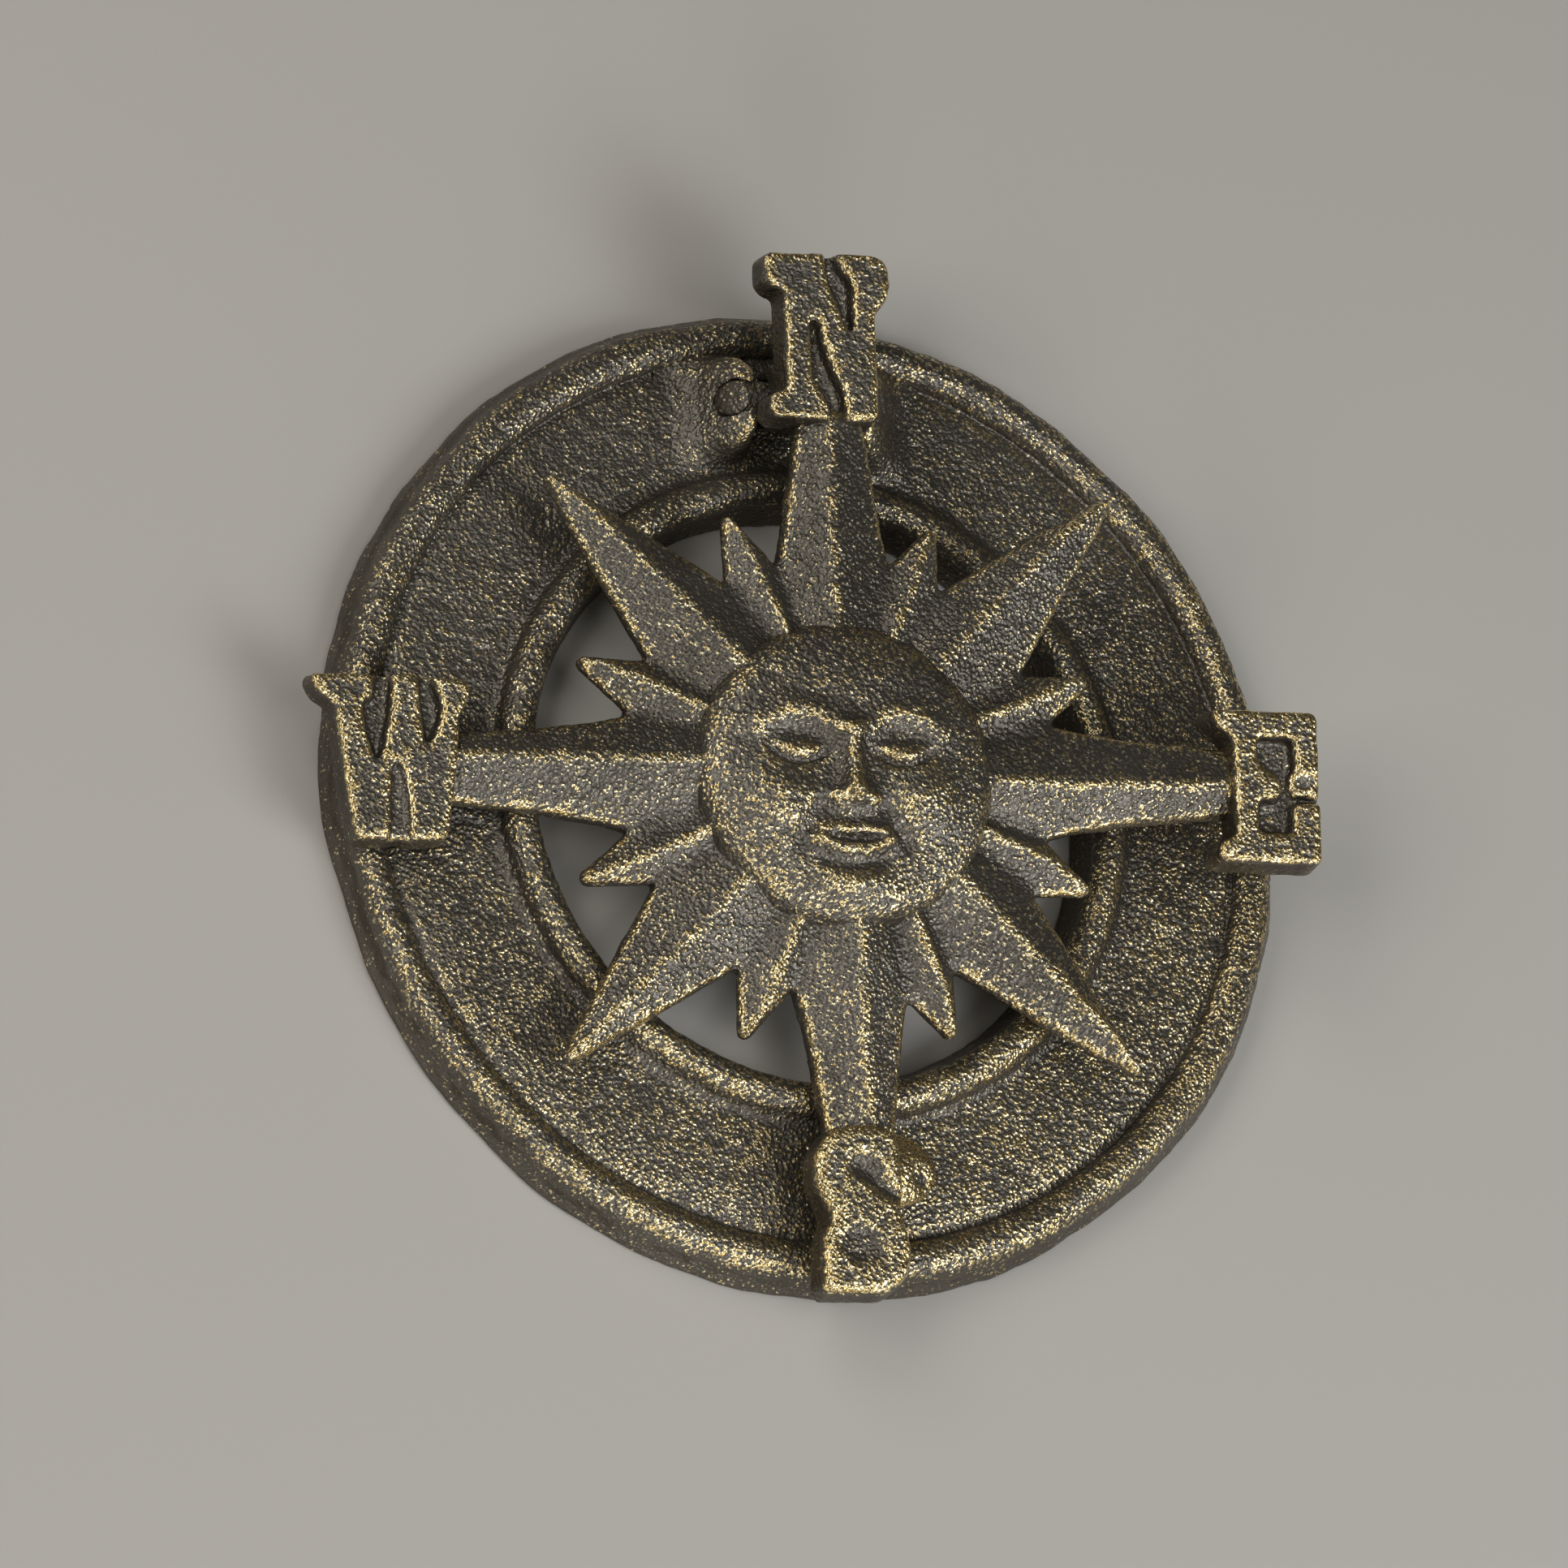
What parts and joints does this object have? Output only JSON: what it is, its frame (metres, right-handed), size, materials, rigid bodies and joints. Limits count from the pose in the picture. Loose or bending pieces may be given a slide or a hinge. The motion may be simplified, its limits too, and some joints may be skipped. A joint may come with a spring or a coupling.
{
  "type": "door knocker",
  "caption": "Cast-iron door knocker: a ring plate with a hinged sun and compass rose whose long rays end in the letters N, E, S and W.",
  "frame": {"origin": "centre of the ring plate on its flat back face", "axes": "+Z points away from the door, out of the ring's front; +Y points to the N letter and the hinge; +X to the E letter. The plate lies on its back on z = 0."},
  "size_m": [0.1701, 0.1696, 0.0263],
  "materials": {
    "cast_iron": "rough sand-cast iron, dark brown, rubbed bronze on the high edges",
    "pin_steel": "dull brown steel rod"
  },
  "bodies": {
    "plate": {"outer_rim": "cast_iron", "inner_rim": "cast_iron", "ring_web": "cast_iron", "hinge_ear_west": "cast_iron", "hinge_ear_east": "cast_iron", "hinge_pin": "pin_steel"},
    "knocker": {"cardinal_ray_e": "cast_iron", "cardinal_ray_n": "cast_iron", "cardinal_ray_s": "cast_iron", "cardinal_ray_w": "cast_iron", "diagonal_ray_ne": "cast_iron", "diagonal_ray_nw": "cast_iron", "diagonal_ray_se": "cast_iron", "diagonal_ray_sw": "cast_iron", "hinge_lug": "cast_iron", "letter_e": "cast_iron", "letter_n": "cast_iron", "letter_s": "cast_iron", "letter_w": "cast_iron", "short_ray_ene": "cast_iron", "short_ray_ese": "cast_iron", "short_ray_nne": "cast_iron", "short_ray_nnw": "cast_iron", "short_ray_sse": "cast_iron", "short_ray_ssw": "cast_iron", "short_ray_wnw": "cast_iron", "short_ray_wsw": "cast_iron", "striker_knob": "cast_iron", "sun_face": "cast_iron"}
  },
  "joints": [
    {"name": "knocker_hinge", "type": "hinge", "parent": "plate", "child": "knocker", "pos_m": [0, 0.064, 0.012], "axis": [-1, 0, 0], "range_deg": [0, 40]}
  ]
}
